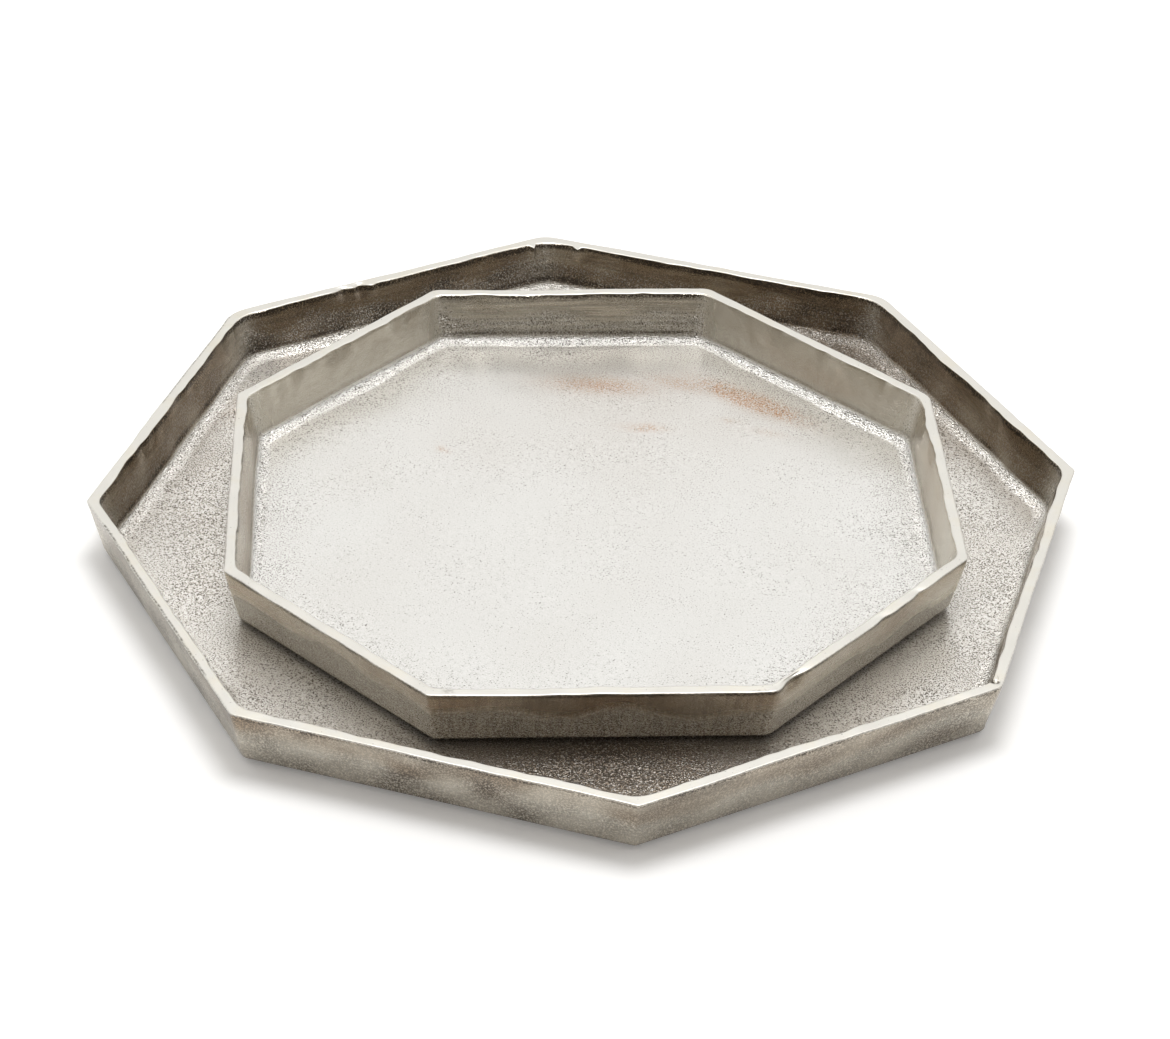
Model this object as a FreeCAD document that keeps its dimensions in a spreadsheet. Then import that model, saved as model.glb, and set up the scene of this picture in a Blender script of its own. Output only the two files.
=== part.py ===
"""Nesting pair of octagonal sand-cast trays: a small tray standing in a large one, each on four felt pads.

Each tray is a single aluminium casting with a flat floor, eight walls that lean outwards, a ground rim and
rounded inside corners. The castings are hand finished, so every side has a distance of its own from the
tray's centre. All sizes are in millimetres and stand in the sheet "dims".

Row frame: +Z is up, the origin is the point of the table under the large tray's centre, and the large
tray's side 1 faces +X. Sides are numbered anticlockwise, seen from above.
"""
import FreeCAD
import Part

import math
import os

import Sketcher

SIDES = 8
TURN = 360.0 / SIDES
PADS_PER_TRAY = 4
PAD_TURN = 360.0 / PADS_PER_TRAY
LEVEL = 1e-4  # two heights closer than this are the same height
ORIGIN = -1  # a sketch's own origin, in its constraints
POINT = 1  # the origin's point, and a line's start
END = 2  # a line's end

DIMENSIONS = {
    # distance of each side of the rim from the tray's centre
    "large_side_1": 212.5,
    "large_side_2": 213.0,
    "large_side_3": 209.0,
    "large_side_4": 210.5,
    "large_side_5": 212.5,
    "large_side_6": 212.0,
    "large_side_7": 209.0,
    "large_side_8": 210.0,
    "small_side_1": 167.0,
    "small_side_2": 163.5,
    "small_side_3": 163.5,
    "small_side_4": 165.5,
    "small_side_5": 164.5,
    "small_side_6": 167.0,
    "small_side_7": 161.0,
    "small_side_8": 165.5,
    # heights of the castings, without their pads
    "large_height": 28.0,
    "small_height": 29.0,
    # the wall at the rim, the floor, and how far a wall leans out from foot to rim
    "wall_thickness": 5.0,
    "floor_thickness": 5.0,
    "wall_lean": 6.0,
    # roundings
    "outer_corner_radius": 3.0,
    "large_inner_corner_radius": 15.0,
    "small_inner_corner_radius": 9.0,
    "cove_radius": 6.0,
    "foot_radius": 2.0,
    "rim_edge_radius": 0.6,
    # stick-on felt pads, on a circle under each tray
    "pad_thickness": 2.0,
    "pad_diameter": 22.0,
    "large_pad_circle_radius": 175.0,
    "small_pad_circle_radius": 132.0,
    # where each tray stands: the small one is a little off the centre of the large one's floor
    "large_turn": 0.0,
    "small_turn": 20.0,
    "large_shift_x": 0.0,
    "large_shift_y": 0.0,
    "small_shift_x": 1.6,
    "small_shift_y": -2.5,
}

# Height of each casting's underside over the table, as a formula on the sheet.
UNDERSIDE = {
    "large": "dims.pad_thickness",
    "small": "dims.pad_thickness + dims.floor_thickness + dims.pad_thickness",
}


def make_sheet(doc):
    """The spreadsheet that holds every driving dimension."""
    sheet = doc.addObject("Spreadsheet::Sheet", "dims")
    for row, (name, value) in enumerate(DIMENSIONS.items(), start=1):
        sheet.set(f"A{row}", name)
        sheet.set(f"B{row}", str(value))
        sheet.setAlias(f"B{row}", name)
    doc.recompute()
    return sheet


def octagon_corners(distances):
    """Corners of the octagon whose sides lie at these distances; corner n is where side n starts."""
    step = math.radians(TURN)
    corners = []
    for side, after in enumerate(distances):
        before = distances[side - 1]
        facing = step * side
        along = (after * math.cos(step) - before) / math.sin(step)
        x = after * math.cos(facing) - along * math.sin(facing)
        y = after * math.sin(facing) + along * math.cos(facing)
        corners.append(FreeCAD.Vector(x, y, 0.0))
    return corners


def octagon_sketch(body, name, tray, level, inset):
    """A closed eight-sided outline at height level, each side inset from its rim distance.

    level and inset are formulas on the sheet. Every side keeps its own direction and distance.
    """
    sketch = body.newObject("Sketcher::SketchObject", f"{tray}_{name}")
    plane = next(item for item in body.Origin.OriginFeatures if item.Role == "XY_Plane")
    sketch.AttachmentSupport = [(plane, "")]
    sketch.MapMode = "FlatFace"
    sketch.setExpression("AttachmentOffset.Base.z", level)
    corners = octagon_corners([DIMENSIONS[f"{tray}_side_{n + 1}"] for n in range(SIDES)])
    for n in range(SIDES):
        sketch.addGeometry(Part.LineSegment(corners[n], corners[(n + 1) % SIDES]), False)
    for n in range(SIDES):
        sketch.addConstraint(Sketcher.Constraint("Coincident", n, END, (n + 1) % SIDES, POINT))
    for n in range(SIDES):
        heading = (90.0 + TURN * n + 180.0) % 360.0 - 180.0
        sketch.addConstraint(Sketcher.Constraint("Angle", n, math.radians(heading)))
        side = f"{tray}_side_{n + 1}"
        index = sketch.addConstraint(Sketcher.Constraint("Distance", ORIGIN, POINT, n, DIMENSIONS[side]))
        sketch.renameConstraint(index, f"side_{n + 1}")
        sketch.setExpression(f"Constraints.side_{n + 1}", f"dims.{side} - ({inset})")
    return sketch


def is_level(item):
    """Whether an edge or a face lies in one horizontal plane."""
    return item.BoundBox.ZMax - item.BoundBox.ZMin < LEVEL


def is_at(item, level_mm):
    """Whether an edge or a face lies flat at this height."""
    return is_level(item) and abs(item.BoundBox.ZMax - level_mm) < LEVEL


def edge_names(feature, wanted):
    """Names of the feature's edges for which wanted(edge) is true."""
    edges = enumerate(feature.Shape.Edges, start=1)
    return [f"Edge{number}" for number, edge in edges if wanted(edge)]


def face_names(feature, wanted):
    """Names of the feature's faces for which wanted(face) is true."""
    faces = enumerate(feature.Shape.Faces, start=1)
    return [f"Face{number}" for number, face in faces if wanted(face)]


def fillet(body, base, name, radius, wanted):
    """Rounds the wanted edges of base by a radius that is a formula on the sheet."""
    feature = body.newObject("PartDesign::Fillet", name)
    feature.Base = (base, edge_names(base, wanted))
    feature.setExpression("Radius", radius)
    body.Document.recompute()
    return feature


def draft(body, base, name, angle, walls, level_mm, outwards):
    """Leans the wanted walls of base, about the flat face at level_mm, so that they open upwards."""
    feature = body.newObject("PartDesign::Draft", name)
    feature.Base = (base, face_names(base, walls))
    feature.NeutralPlane = (base, face_names(base, lambda face: is_at(face, level_mm)))
    feature.Reversed = outwards
    feature.setExpression("Angle", angle)
    body.Document.recompute()
    return feature


def build_tray(doc, tray):
    """One casting: the drafted outer block, the drafted well cut into it, and their roundings."""
    body = doc.addObject("PartDesign::Body", f"{tray}_tray")
    body.Label = f"{tray}_tray"
    height = f"dims.{tray}_height"
    height_mm = DIMENSIONS[f"{tray}_height"]
    floor_mm = DIMENSIONS["floor_thickness"]
    lean_angle = f"atan(dims.wall_lean / {height})"

    foot_outline = octagon_sketch(body, "foot_outline", tray, "0", "dims.wall_lean")
    doc.recompute()
    block = body.newObject("PartDesign::Pad", f"{tray}_block")
    block.Profile = foot_outline
    block.setExpression("Length", height)
    doc.recompute()
    outside = draft(
        body, block, f"{tray}_outer_lean", lean_angle, lambda face: not is_level(face), 0.0, True
    )
    corners = fillet(
        body, outside, f"{tray}_outer_corners", "dims.outer_corner_radius", lambda edge: not is_level(edge)
    )
    fillet(body, corners, f"{tray}_foot_edge", "dims.foot_radius", lambda edge: is_at(edge, 0.0))

    lean_above_floor = f"dims.wall_lean * ({height} - dims.floor_thickness) / {height}"
    floor_inset = f"dims.wall_thickness + {lean_above_floor}"
    floor_outline = octagon_sketch(body, "floor_outline", tray, "dims.floor_thickness", floor_inset)
    doc.recompute()
    well = body.newObject("PartDesign::Pocket", f"{tray}_well")
    well.Profile = floor_outline
    well.Type = "ThroughAll"
    well.Reversed = True
    doc.recompute()

    def is_well_wall(face):
        return not is_level(face) and abs(face.BoundBox.ZMin - floor_mm) < LEVEL

    def is_inner_corner(edge):
        return not is_level(edge) and abs(edge.BoundBox.ZMin - floor_mm) < LEVEL

    inside = draft(body, well, f"{tray}_inner_lean", lean_angle, is_well_wall, floor_mm, False)
    inner_radius = f"dims.{tray}_inner_corner_radius"
    inner = fillet(body, inside, f"{tray}_inner_corners", inner_radius, is_inner_corner)
    cove = fillet(
        body, inner, f"{tray}_cove", "dims.cove_radius", lambda edge: is_at(edge, floor_mm)
    )
    body.Tip = fillet(
        body, cove, f"{tray}_rim_edges", "dims.rim_edge_radius", lambda edge: is_at(edge, height_mm)
    )

    body.setExpression("Placement.Base.x", f"dims.{tray}_shift_x")
    body.setExpression("Placement.Base.y", f"dims.{tray}_shift_y")
    body.setExpression("Placement.Base.z", UNDERSIDE[tray])
    body.Placement.Rotation = FreeCAD.Rotation(FreeCAD.Vector(0, 0, 1), DIMENSIONS[f"{tray}_turn"])
    body.setExpression("Placement.Rotation.Angle", f"dims.{tray}_turn")
    return body


def build_pad(doc, tray, number):
    """One stick-on felt disc, flat against the tray's underside, towards a corner of the octagon."""
    pad = doc.addObject("Part::Cylinder", f"{tray}_tray_felt_pad_{number}")
    pad.Label = f"{tray}_tray_felt_pad_{number}"
    pad.setExpression("Radius", "dims.pad_diameter / 2")
    pad.setExpression("Height", "dims.pad_thickness")
    towards = f"dims.{tray}_turn + {TURN / 2 + PAD_TURN * (number - 1)}"
    reach = f"dims.{tray}_pad_circle_radius"
    pad.setExpression("Placement.Base.x", f"dims.{tray}_shift_x + {reach} * cos({towards})")
    pad.setExpression("Placement.Base.y", f"dims.{tray}_shift_y + {reach} * sin({towards})")
    pad.setExpression("Placement.Base.z", f"{UNDERSIDE[tray]} - dims.pad_thickness")
    return pad


def check_document(doc, parts):
    """Stops if any object failed to compute or any part has no sound shape."""
    for item in doc.Objects:
        if "Invalid" in item.State or "Error" in item.State:
            raise RuntimeError(f"{item.Name} failed: {item.State}")
    for part in parts:
        shape = part.Shape
        if shape.isNull() or not shape.isValid() or shape.Volume <= 0:
            raise RuntimeError(f"{part.Label} has no sound shape")


def main():
    doc = FreeCAD.newDocument("nesting_trays")
    make_sheet(doc)
    parts = []
    for tray in ("large", "small"):
        parts.append(build_tray(doc, tray))
        parts += [build_pad(doc, tray, number + 1) for number in range(PADS_PER_TRAY)]
    doc.recompute()
    check_document(doc, parts)
    os.makedirs("parts", exist_ok=True)
    for part in parts:
        part.Shape.exportStep(f"parts/{part.Label}.step")
        box = part.Shape.BoundBox
        print(
            f"{part.Label}: {part.Shape.Volume / 1000:.1f} cm3, {box.XLength:.1f} x {box.YLength:.1f}"
            f" x {box.ZLength:.1f} mm, from z = {box.ZMin:.2f} to {box.ZMax:.2f}"
        )


main()
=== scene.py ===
"""Looks of a nesting pair of octagonal sand-cast trays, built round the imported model.

Each casting is one closed surface: a profile (underside, foot, outer wall, ground rim, inner wall, cove,
floor) carried round a rounded octagon. Both are arrays, so a tray is a grid of stations by columns.
"""

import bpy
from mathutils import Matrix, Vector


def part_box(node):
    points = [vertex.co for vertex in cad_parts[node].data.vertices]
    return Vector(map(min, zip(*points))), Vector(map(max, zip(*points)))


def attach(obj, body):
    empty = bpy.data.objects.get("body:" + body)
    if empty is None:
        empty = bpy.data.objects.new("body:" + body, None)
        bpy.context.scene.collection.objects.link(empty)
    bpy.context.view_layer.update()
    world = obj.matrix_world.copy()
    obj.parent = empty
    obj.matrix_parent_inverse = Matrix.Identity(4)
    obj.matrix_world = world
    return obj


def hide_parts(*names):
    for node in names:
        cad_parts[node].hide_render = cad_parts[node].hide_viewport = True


bl_info = {
    "name": "Nesting Cast Trays",
    "version": (1, 0, 0),
    "blender": (4, 5, 0),
    "location": "3D View > Sidebar > Trays",
    "description": "Builds two sand-cast trays with ground rims, their felt pads and a pale studio floor",
    "category": "Object",
}

from types import SimpleNamespace

import bpy
import numpy as np
from bpy.props import FloatProperty, FloatVectorProperty, PointerProperty
from mathutils import Matrix, Vector

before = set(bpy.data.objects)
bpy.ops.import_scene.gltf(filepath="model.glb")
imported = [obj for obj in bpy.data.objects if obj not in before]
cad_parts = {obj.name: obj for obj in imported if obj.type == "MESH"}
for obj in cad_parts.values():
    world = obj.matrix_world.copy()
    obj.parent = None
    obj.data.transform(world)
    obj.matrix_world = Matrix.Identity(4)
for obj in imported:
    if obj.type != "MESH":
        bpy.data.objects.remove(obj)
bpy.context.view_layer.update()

MM = 0.001
SIDES = 8
TURN = np.radians(360 / SIDES)
HALF = TURN / 2

# Each tray as hand finished: how it is turned, in degrees, and how round its eight corners are outside and
# inside the rim, in millimetres. Corner n is where side n starts, anticlockwise seen from above. The other
# rows of eight say for each side, from 0 to about 1, how much of the sand's grain its wall keeps (grit),
# how far it has darkened (brown), how dark the painted shade line in the crease at its inner foot is, and
# how strong its brush streaks are. floor_grit is for the floor's middle and its border. Dirt dulls all the
# walls, outer_lip is the dark line outside under the rim, relief is how uneven the walls are against the
# usual, and seed starts the tray's random patterns.
TRAYS = {
    "large": {
        "turn": 0.0,
        "outer_corners": (5.0, 3.0, 16.0, 14.0, 18.0, 3.0, 4.0, 3.0),
        "inner_corners": (13.0, 15.0, 22.0, 20.0, 20.0, 10.0, 14.0, 16.0),
        "inside_grit": (0.35, 0.35, 0.60, 1.00, 0.45, 0.30, 0.30, 0.30),
        "inside_brown": (0.65, 1.05, 1.15, 1.15, 1.00, 0.70, 0.60, 0.60),
        "outside_grit": (0.34, 0.30, 0.30, 0.30, 0.30, 0.30, 0.32, 0.32),
        "outside_brown": (0.50, 0.40, 0.40, 0.40, 0.40, 0.48, 0.62, 0.48),
        "painted_crease_shade": (0.20, 0.50, 0.50, 0.80, 0.80, 0.20, 0.20, 0.20),
        "inner_streaks": (0.15, 0.25, 0.45, 0.45, 0.25, 0.10, 0.10, 0.10),
        "outer_streaks": (0.08, 0.08, 0.08, 0.08, 0.08, 0.08, 0.08, 0.08),
        "floor_grit": (0.95, 1.00),
        "floor_brown": 0.12,
        "inner_dirt": 0.36,
        "outer_dirt": 0.52,
        "outer_lip": 0.7,
        "relief": 1.2,
        "seed": 11,
    },
    "small": {
        "turn": 20.0,
        "outer_corners": (4.0, 10.0, 9.0, 9.0, 4.0, 3.0, 2.0, 8.0),
        "inner_corners": (9.0, 11.0, 10.0, 10.0, 8.0, 8.0, 8.0, 10.0),
        "inside_grit": (0.14, 0.20, 0.90, 0.18, 0.35, 0.30, 0.30, 0.30),
        "inside_brown": (0.45, 0.00, 0.00, 0.05, 0.68, 0.30, 0.30, 0.30),
        "outside_grit": (0.50, 0.40, 0.40, 0.40, 0.40, 0.80, 0.92, 0.80),
        "outside_brown": (0.30, 0.30, 0.30, 0.30, 0.30, 0.40, 0.62, 0.40),
        "painted_crease_shade": (0.20, 0.45, 1.00, 0.20, 0.60, 0.20, 0.20, 0.20),
        "inner_streaks": (0.10, 0.04, 0.55, 0.04, 0.12, 0.10, 0.10, 0.10),
        "outer_streaks": (0.10, 0.10, 0.10, 0.10, 0.10, 0.10, 0.45, 0.12),
        "floor_grit": (0.40, 0.85),
        "floor_brown": 0.04,
        "inner_dirt": 0.08,
        "outer_dirt": 0.06,
        "outer_lip": 1.5,
        "relief": 0.5,
        "seed": 47,
    },
}

# Marks on the rims, darker than the ground metal, in millimetres like the tables after it: tray, side,
# place along the side from its middle, half length, distance in from the outer edge, half width, and how
# dark.
RIM_MARKS = (
    ("large", 6, -7.0, 60.0, 0.7, 0.35, 0.9),
    ("large", 5, -40.0, 40.0, 0.7, 0.3, 0.7),
    ("large", 1, -81.0, 1.6, 3.3, 1.2, 0.9),
    ("small", 7, -66.7, 1.2, 3.0, 1.5, 0.45),
    ("small", 7, 64.0, 3.0, 1.2, 0.5, 0.5),
)

# Darker patches low on the outer walls: tray, side, place along the side from its middle, height, half
# length, half height, and how dark.
WALL_STAINS = (
    ("large", 7, -14.0, 17.0, 9.0, 7.0, 0.20),
    ("large", 7, 22.0, 16.0, 11.0, 8.0, 0.22),
    ("large", 8, 62.0, 8.0, 26.0, 4.0, 0.18),
)

# Spots on the floors: tray, place in the shared frame, half length, half width, turn in degrees, and how
# strong. First where copper shows through.
COPPER_SPOTS = (
    ("small", 48.0, 118.0, 26.0, 6.0, -17.0, 2.0),
    ("small", -27.0, 106.0, 24.0, 7.0, 12.0, 1.0),
    ("small", 12.0, 121.0, 18.0, 6.0, 0.0, 0.7),
    ("small", 5.4, 78.0, 10.0, 2.6, 14.0, 0.8),
    ("small", 42.8, 97.3, 5.0, 1.6, 0.0, 0.45),
    ("small", 63.4, 93.5, 9.0, 3.0, 0.0, 0.3),
    ("small", -80.5, 28.2, 3.0, 2.4, 0.0, 0.6),
    ("large", -188.0, 43.0, 26.0, 9.0, 60.0, 0.30),
)
# Where shade and the reflection of the small tray's dark walls are painted on the large floor, which is
# grainier there too.
PAINTED_SHADE_SPOTS = (
    ("large", 62.0, -164.0, 85.0, 28.0, 20.0, 1.25),
    ("large", 84.0, 178.0, 60.0, 22.0, -35.0, 1.0),
    ("large", -180.0, -72.0, 30.0, 22.0, 67.5, 0.20),
)
# Where the floor is warmer.
WARM_SPOTS = (
    ("small", -10.0, 105.0, 115.0, 70.0, 10.0, 0.16),
)


# ---------------------------------------------------------------- shapes


def waves(points, size, seed, count=28):
    """Smooth unevenness, about -1 to 1: the sum of sine waves in random directions through space.

    Each wave's length is size times a random factor from 0.7 to 1.5, and its phase is random.
    """
    random = np.random.default_rng(seed)
    direction = random.normal(size=(count, 3))
    direction /= np.linalg.norm(direction, axis=1, keepdims=True)
    length = size * random.uniform(0.7, 1.5, count)
    phase = random.uniform(0, 2 * np.pi, count)
    turns = points @ (2 * np.pi * direction / length[:, None]).T + phase
    return np.sin(turns).sum(-1) * np.sqrt(2 / count) / 1.6


def smooth_step(value, low, high):
    """0 below low, 1 above high, and 3t^2 - 2t^3 of the share t in between."""
    share = np.clip((value - low) / (high - low), 0, 1)
    return share * share * (3 - 2 * share)


def node_points(node):
    """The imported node's vertices as an array of rows, in metres."""
    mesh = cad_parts[node].data
    points = np.empty(len(mesh.vertices) * 3, np.float32)
    mesh.vertices.foreach_get("co", points)
    return points.reshape(-1, 3).astype(float)


def facing(turn_degrees):
    """Outward directions of the eight sides and their directions along, as two 8 by 2 arrays."""
    angle = np.radians(turn_degrees) + TURN * np.arange(SIDES)
    out = np.stack([np.cos(angle), np.sin(angle)], axis=1)
    along = np.stack([-np.sin(angle), np.cos(angle)], axis=1)
    return out, along


def outline(distances, turn_degrees, insets, radii, arc_columns, straight_columns):
    """Rounded octagons in plan, one for each inset: points and outward normals, stations by columns by 2.

    Side n lies its distance less the inset from the centre. The arc at a corner has its centre where both
    neighbouring sides are one radius away; each half of it takes half the turn between the sides. Between
    the arcs the points are evenly spaced along the side.
    """
    out, along = facing(turn_degrees)
    reach = distances[None, :] - insets[:, None]
    start = (reach * np.cos(TURN) - np.roll(reach, 1, axis=1)) / np.sin(TURN)
    end = (np.roll(reach, -1, axis=1) - reach * np.cos(TURN)) / np.sin(TURN)
    radius_end = np.roll(radii, -1, axis=1)
    tangent_start = start + radii * np.tan(HALF)
    tangent_end = end - radius_end * np.tan(HALF)
    arc = np.linspace(0, 1, arc_columns, endpoint=False)
    share = np.linspace(0, 1, straight_columns, endpoint=False)
    points, normals = [], []
    for side in range(SIDES):
        pieces = (
            (tangent_start, radii, HALF * (arc - 1)),
            (None, None, share),
            (tangent_end, radius_end, HALF * arc),
        )
        for tangent, radius, turn in pieces:
            if tangent is None:
                spread = tangent_start[:, side, None] * (1 - turn) + tangent_end[:, side, None] * turn
                point = reach[:, side, None, None] * out[side] + spread[..., None] * along[side]
                normal = np.broadcast_to(out[side], point.shape)
            else:
                centre_out = (reach[:, side] - radius[:, side])[:, None, None] * out[side]
                centre = centre_out + tangent[:, side, None, None] * along[side]
                normal = np.cos(turn)[:, None] * out[side] + np.sin(turn)[:, None] * along[side]
                normal = np.broadcast_to(normal, (len(insets), len(turn), 2))
                point = centre + radius[:, side, None, None] * normal
            points.append(point)
            normals.append(normal)
    return np.concatenate(points, axis=1), np.concatenate(normals, axis=1)


def arc_steps(steps):
    """Angles from 0 to 90 degrees, without the first."""
    return np.linspace(0, np.pi / 2, steps + 1)[1:]


# The zones of a casting's section, in the order in which the profile runs through them.
ZONES = range(6)
UNDERSIDE, OUTSIDE, RIM, INSIDE, COVE, FLOOR = ZONES


def profile(height, wall, floor, lean, foot, edge, cove):
    """The casting's section from the underside's middle to the floor's middle, as rows of numbers.

    Each row is inset, height, the normal's outward and upward parts, how far the ring is shrunk towards the
    centre (1 is full size), and its zone. wall is the rim's width and floor the metal under the floor.
    Straight stretches lean by lean over the height; foot, edge and cove are the radii of the arcs between.
    """
    slope = lean / height
    tilt = np.arctan(slope)
    rows = []
    for shrink in (0.25, 0.5, 0.75, 0.93):
        rows.append((lean + foot, 0.0, 0.0, -1.0, shrink, UNDERSIDE))
    for turn in np.concatenate([[0.0], arc_steps(4) * (1 - tilt / (np.pi / 2))]):
        inset = lean + foot * (1 - np.sin(turn)) - foot * slope
        rows.append((inset, foot * (1 - np.cos(turn)), np.sin(turn), -np.cos(turn), 1.0, OUTSIDE))
    low, high = foot, height - edge
    for share in (0.04, 0.12, 0.25, 0.38, 0.5, 0.62, 0.74, 0.84, 0.92, 0.97, 1.0):
        level = low + (high - low) * share
        rows.append((lean - slope * level, level, np.cos(tilt), -np.sin(tilt), 1.0, OUTSIDE))
    for turn in arc_steps(3):
        level = height - edge * (1 - np.sin(turn))
        rows.append((edge * (1 - np.cos(turn)), level, np.cos(turn), np.sin(turn), 1.0, RIM))
    for share in (0.08, 0.22, 0.36, 0.5, 0.65, 0.8, 0.92):
        rows.append((edge + (wall - 2 * edge) * share, height, 0.0, 1.0, 1.0, RIM))
    for turn in np.concatenate([[0.0], arc_steps(3)]):
        inset = wall - edge * (1 - np.sin(turn))
        level = height - edge * (1 - np.cos(turn))
        rows.append((inset, level, -np.sin(turn), np.cos(turn), 1.0, RIM if turn < np.pi / 2 else INSIDE))
    low, high = floor + cove, height - edge
    for share in (0.97, 0.92, 0.83, 0.72, 0.6, 0.48, 0.36, 0.24, 0.12, 0.04):
        level = low + (high - low) * share
        rows.append((wall + slope * (height - level), level, -np.cos(tilt), np.sin(tilt), 1.0, INSIDE))
    base = wall + slope * (height - floor - cove)
    for turn in np.concatenate([[0.0], arc_steps(8)]):
        inset = base + cove * (1 - np.cos(turn))
        rows.append((inset, floor + cove * (1 - np.sin(turn)), -np.cos(turn), np.sin(turn), 1.0, COVE))
    for shrink in 1 - np.linspace(0, 1, 46)[1:-1] ** 1.15:
        rows.append((base + cove, floor, 0.0, 1.0, shrink, FLOOR))
    return np.array(rows)


def grid_mesh(name, rings, first_pole, last_pole):
    """A closed mesh from rings of points, stations by columns by 3, capped by a fan at each pole.

    Neighbouring rings are joined by four-sided faces that wrap round the seam; the faces point outwards.
    """
    stations, columns = rings.shape[:2]
    points = np.concatenate([rings.reshape(-1, 3), [first_pole, last_pole]])
    corner = np.arange(stations * columns).reshape(stations, columns)
    after = np.roll(corner, -1, axis=1)
    quads = np.stack([corner[:-1], after[:-1], after[1:], corner[1:]], axis=-1).reshape(-1, 4)
    first = np.full(columns, stations * columns)
    fan_first = np.stack([first, after[0], corner[0]], axis=-1)
    fan_last = np.stack([first + 1, corner[-1], after[-1]], axis=-1)
    mesh = bpy.data.meshes.new(name)
    mesh.from_pydata(points.tolist(), [], quads.tolist() + fan_first.tolist() + fan_last.tolist())
    mesh.shade_smooth()
    mesh.update()
    return mesh


def add_attribute(mesh, name, values):
    """One number for each vertex, which the materials read by name."""
    layer = mesh.attributes.new(name, "FLOAT", "POINT")
    layer.data.foreach_set("value", np.asarray(values, np.float32).ravel())


def add_piece(name, mesh, body, nodes, materials):
    """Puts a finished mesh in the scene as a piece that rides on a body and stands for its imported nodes."""
    for material in materials:
        mesh.materials.append(material)
    piece = bpy.data.objects.new(name, mesh)
    bpy.context.scene.collection.objects.link(piece)
    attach(piece, body)
    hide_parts(*nodes)
    return piece


# ---------------------------------------------------------------- castings

# Points along half a corner's arc, and along a side.
ARC_COLUMNS = 8
STRAIGHT_COLUMNS = 96

# Nicks and burrs of the rims, in millimetres: tray, side, place along the side from its middle, half width,
# how deep it goes down, which edge it is on, and how far that edge moves out there (in, if negative).
NICKS = (
    ("large", 4, -75.0, 1.3, 0.6, "inner", -3.0),
    ("large", 3, 69.0, 1.3, 0.6, "inner", -3.0),
    ("large", 4, 31.0, 4.5, 0.5, "inner", 2.2),
    ("large", 4, 22.0, 2.6, 0.8, "inner", 2.6),
    ("large", 4, 16.0, 1.6, -0.2, "inner", -1.6),
    ("large", 1, -81.0, 1.5, 0.8, "inner", 1.8),
    ("small", 8, -51.0, 8.5, 1.0, "outer", -3.0),
    ("small", 8, 35.0, 4.0, 0.4, "outer", -1.2),
    ("small", 8, 10.0, 5.0, 0.3, "outer", -1.1),
)


def nearness(reach, sharpness):
    """How much each side counts at each point, adding up to 1: exp(sharpness * reach) over its own sum.

    reach is how far out the point lies towards each side, as a share of that side's distance.
    """
    weight = np.exp(sharpness * (reach - reach.max(axis=-1, keepdims=True)))
    return weight / weight.sum(axis=-1, keepdims=True)


def spot(x, y, centre_x, centre_y, half_length, half_width, turn_degrees):
    """A patch that fades out from 1 at its centre: exp(-(u^2 + v^2)), u and v along and across it."""
    turn = np.radians(turn_degrees)
    along = (x - centre_x) * np.cos(turn) + (y - centre_y) * np.sin(turn)
    across = (y - centre_y) * np.cos(turn) - (x - centre_x) * np.sin(turn)
    return np.exp(-((along / half_length) ** 2) - (across / half_width) ** 2)


def bell(value, middle, width):
    """1 at middle, fading to both sides: exp(-((value - middle) / width)^2)."""
    return np.exp(-(((value - middle) / width) ** 2))


def spots_on(tray, table, skin):
    """The table's spots on this tray, each as an array of its strength times its fading."""
    return [strength * spot(skin.x, skin.y, *place) for name, *place, strength in table if name == tray]


def rim_marks(tray, skin):
    """The dark marks of the ground rim, added up."""
    marks = np.zeros_like(skin.place)
    for name, side, where, half_length, mark_inset, half_width, strength in RIM_MARKS:
        if name == tray:
            along = 1 - smooth_step(np.abs(skin.place - where), half_length, half_length + 2)
            marks += (skin.side == side - 1) * along * bell(skin.inset, mark_inset, half_width) * strength
    return skin.rim * marks


def wall_patches(tray, skin):
    """The darker patches of the outer walls, added up."""
    patches = np.zeros_like(skin.place)
    for name, side, *place, strength in WALL_STAINS:
        if name == tray:
            patches += (skin.side == side - 1) * spot(skin.place, skin.level, *place, 0.0) * strength
    return skin.outside * patches * (1 + 0.5 * skin.small_cloud)


def grain_kept(facts, skin):
    """How much of the sand's grain is left, from 0 to about 1.

    Walls keep all their share of it below a wavy border halfway up, and a quarter of that above; inner
    walls keep more in their creases. Floors keep the first of floor_grit's two numbers, and the second near
    the walls.
    """
    by_height = 0.25 + 0.75 * skin.low
    middle, border = facts["floor_grit"]
    half_floor, border_width = 160, 22  # in millimetres
    from_wall = (1 - skin.shrink) * (skin.reach.max(axis=-1) * half_floor)
    floor_grit = middle + (border - middle) * bell(from_wall, 0, border_width) + 0.05 * skin.small_cloud
    outer = (skin.shares @ facts["outside_grit"]) * by_height
    inner = (skin.shares @ facts["inside_grit"]) * by_height + 0.7 * skin.crease
    return skin.outside * outer + skin.flat * np.where(skin.cove, 1.0, floor_grit) + skin.wall * inner


def tarnish_and_painted_foot_shade(facts, skin):
    """How far the metal has darkened, from 0 to about 1, with painted shade at the outer walls' foot.

    It has darkened in clouds: outer walls least where they keep their grain; inner walls least in their
    creases; and floors faintly. The outer walls are a little darker at the foot too, which is painted shade.
    """
    outer_clouds = (1 + 0.45 * skin.cloud + 0.25 * skin.small_cloud) * (1 - 0.80 * skin.low)
    # Painted shade: the outer wall is browner near its foot, where it stands.
    outer = (skin.shares @ facts["outside_brown"]) * outer_clouds + 0.25 * np.exp(-skin.level / 3.0)
    inner_clouds = 0.92 + 0.34 * skin.cloud + 0.16 * skin.small_cloud
    inner = (skin.shares @ facts["inside_brown"]) * inner_clouds * (1 - 0.6 * np.minimum(skin.crease, 1))
    floor = facts["floor_brown"] * (1 + 0.8 * skin.cloud)
    return skin.outside * outer + skin.wall * inner + skin.floor * floor


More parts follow.
